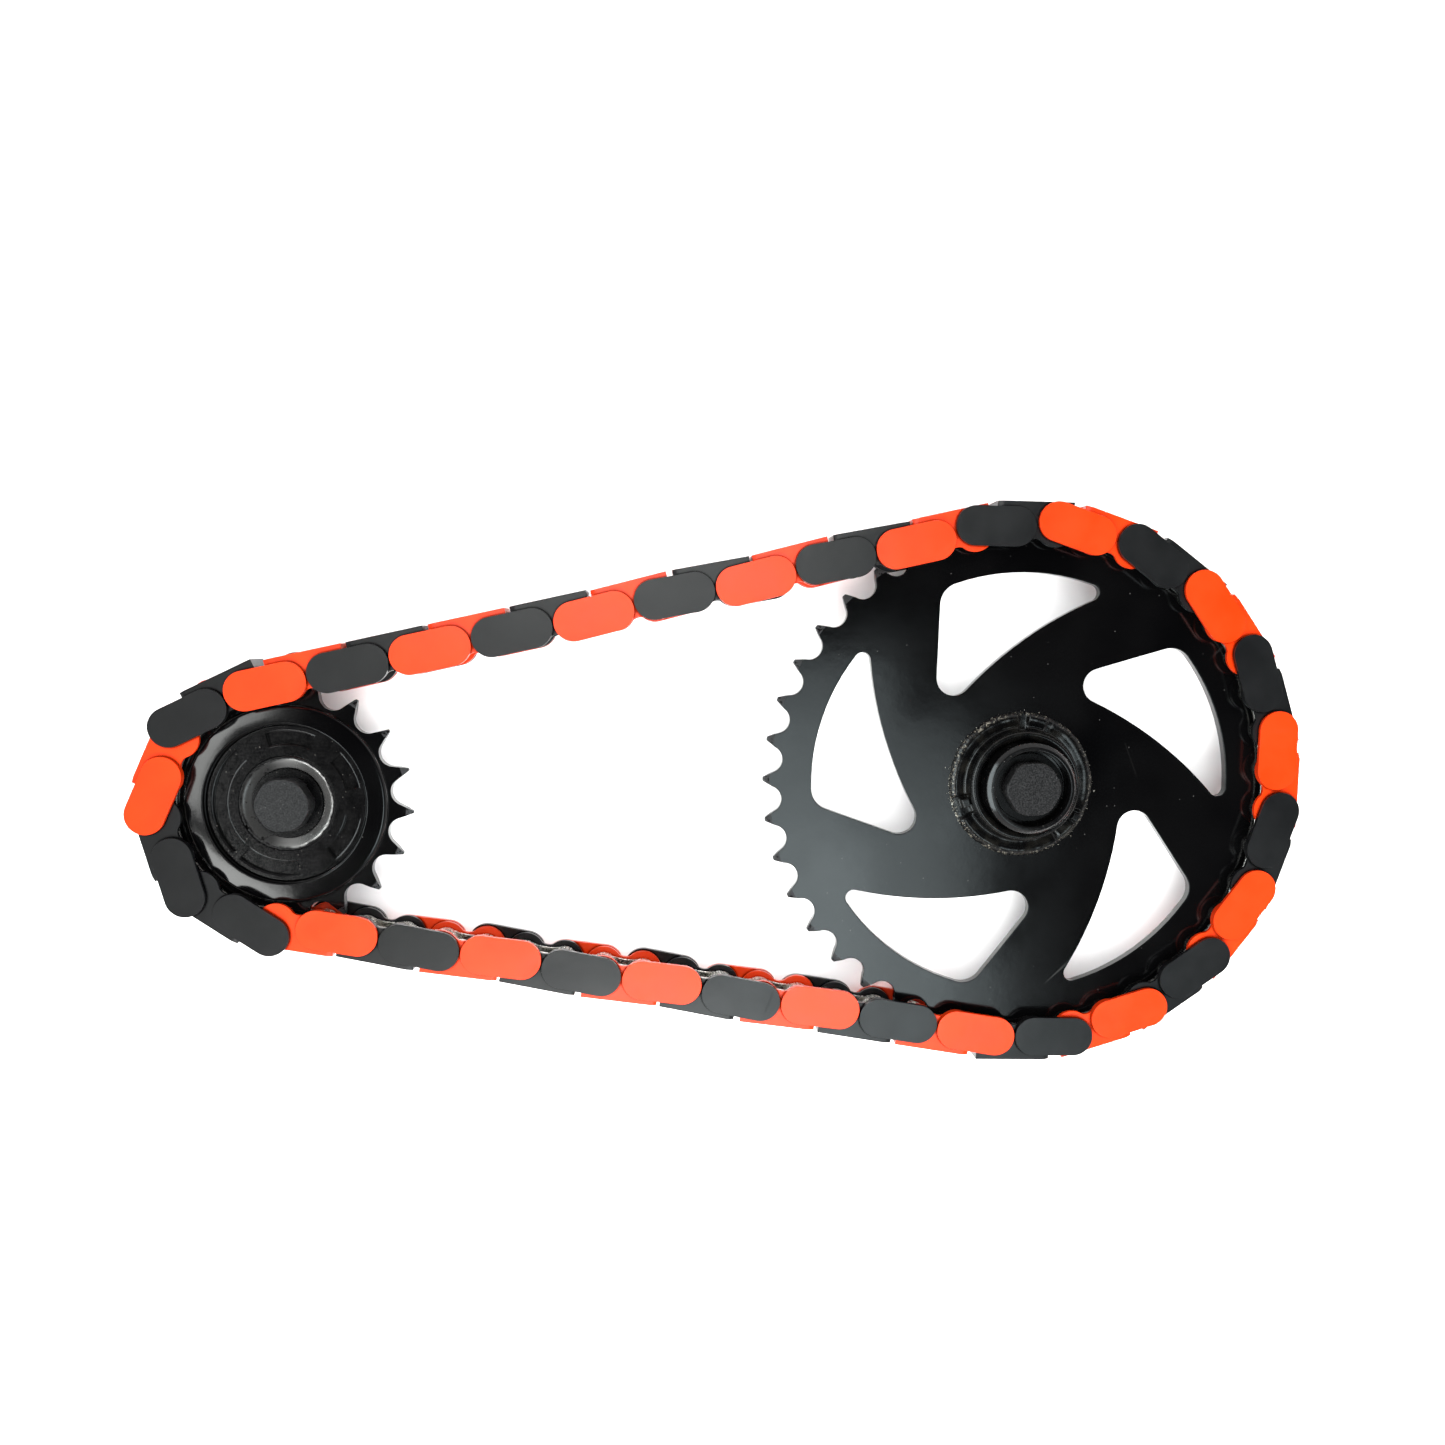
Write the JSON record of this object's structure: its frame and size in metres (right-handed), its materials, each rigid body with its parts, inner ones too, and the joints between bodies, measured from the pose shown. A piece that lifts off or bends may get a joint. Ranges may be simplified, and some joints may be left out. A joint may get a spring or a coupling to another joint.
{
  "type": "roller chain drive",
  "caption": "Half-inch roller chain with clip-on orange and black link covers, looped over a spoked chainring and a small sprocket.",
  "frame": {"origin": "chainring axis where it meets the resting plane, at the mouth of the tapped hole under the crank spindle", "axes": "+Z along the chainring axis, up from the resting plane; +X from the small sprocket to the chainring; +Y towards the upper run"},
  "size_m": [0.3666, 0.1782, 0.0295],
  "materials": {
    "cover_orange": "satin",
    "cover_black": "satin",
    "wheel_black": "gloss",
    "hub_black": "gloss",
    "bolt_black": "matte",
    "bright_steel": "satin",
    "dark_steel": "satin",
    "spindle_steel": "satin",
    "bush_bronze": "satin"
  },
  "bodies": {
    "spindles": {"crank_spindle": "spindle_steel", "sprocket_spindle": "spindle_steel", "hex_bolts": "bolt_black", "washers": "bolt_black", "plain_bushes": "bush_bronze"},
    "chainring_wheel": {"chainring": "wheel_black", "hub_collar": "hub_black", "hub_sleeve": "hub_black"},
    "small_wheel": {"small_sprocket": "wheel_black", "sprocket_carrier": "hub_black", "carrier_cap": "hub_black"},
    "chain_on_chainring": {"cover_12": "cover_black", "cover_13": "cover_orange", "cover_14": "cover_black", "cover_15": "cover_orange", "cover_16": "cover_black", "cover_17": "cover_orange", "cover_18": "cover_black", "cover_19": "cover_orange", "cover_20": "cover_black", "cover_21": "cover_orange", "cover_22": "cover_black", "outer_plates_ring": "dark_steel", "inner_links_ring": "bright_steel", "rollers_ring": "bright_steel", "pins_ring": "bright_steel"},
    "upper_run": {"cover_03": "cover_orange", "cover_04": "cover_black", "cover_05": "cover_orange", "cover_06": "cover_black", "cover_07": "cover_orange", "cover_08": "cover_black", "cover_09": "cover_orange", "cover_10": "cover_black", "cover_11": "cover_orange", "outer_plates_upper": "dark_steel", "inner_links_upper": "bright_steel", "rollers_upper": "bright_steel", "pins_upper": "bright_steel"},
    "chain_on_sprocket": {"cover_01": "cover_orange", "cover_02": "cover_black", "cover_32": "cover_black", "cover_33": "cover_black", "outer_plates_small": "dark_steel", "inner_links_small": "bright_steel", "rollers_small": "bright_steel", "pins_small": "bright_steel"},
    "lower_run": {"cover_23": "cover_orange", "cover_24": "cover_black", "cover_25": "cover_orange", "cover_26": "cover_black", "cover_27": "cover_orange", "cover_28": "cover_black", "cover_29": "cover_orange", "cover_30": "cover_black", "cover_31": "cover_orange", "outer_plates_lower": "dark_steel", "inner_links_lower": "bright_steel", "rollers_lower": "bright_steel", "pins_lower": "bright_steel"}
  },
  "joints": [
    {"name": "chainring_turn", "type": "hinge", "parent": "spindles", "child": "chainring_wheel", "pos_m": [0, 0, 0.014], "axis": [0, 0, 1], "range_deg": [-4.3, 0.4]},
    {"name": "small_sprocket_turn", "type": "hinge", "parent": "spindles", "child": "small_wheel", "pos_m": [-0.23065, 0, 0.014], "axis": [0, 0, 1], "range_deg": [-9.71, 1.04]},
    {"name": "ring_chain_turn", "type": "hinge", "parent": "spindles", "child": "chain_on_chainring", "pos_m": [0, 0, 0.014], "axis": [0, 0, 1], "range_deg": [-4.4, 0.5]},
    {"name": "sprocket_chain_turn", "type": "hinge", "parent": "spindles", "child": "chain_on_sprocket", "pos_m": [-0.23065, 0, 0.014], "axis": [0, 0, 1], "range_deg": [-9.71, 1.04]},
    {"name": "upper_run_pivot", "type": "hinge", "parent": "chain_on_chainring", "child": "upper_run", "pos_m": [-0.01537, 0.07946, 0.014], "axis": [0, 0, 1], "range_deg": [-0.5, 4.37]},
    {"name": "lower_run_pivot", "type": "hinge", "parent": "chain_on_chainring", "child": "lower_run", "pos_m": [-0.00993, -0.08032, 0.014], "axis": [0, 0, 1], "range_deg": [-0.5, 4.38]}
  ],
  "couplings": [
    {"joint": "small_sprocket_turn", "follows": "chainring_turn", "ratio": 2.2222},
    {"joint": "ring_chain_turn", "follows": "chainring_turn", "ratio": 1},
    {"joint": "sprocket_chain_turn", "follows": "chainring_turn", "ratio": 2.2222},
    {"joint": "upper_run_pivot", "follows": "chainring_turn", "ratio": -0.9926},
    {"joint": "lower_run_pivot", "follows": "chainring_turn", "ratio": -0.9951}
  ]
}
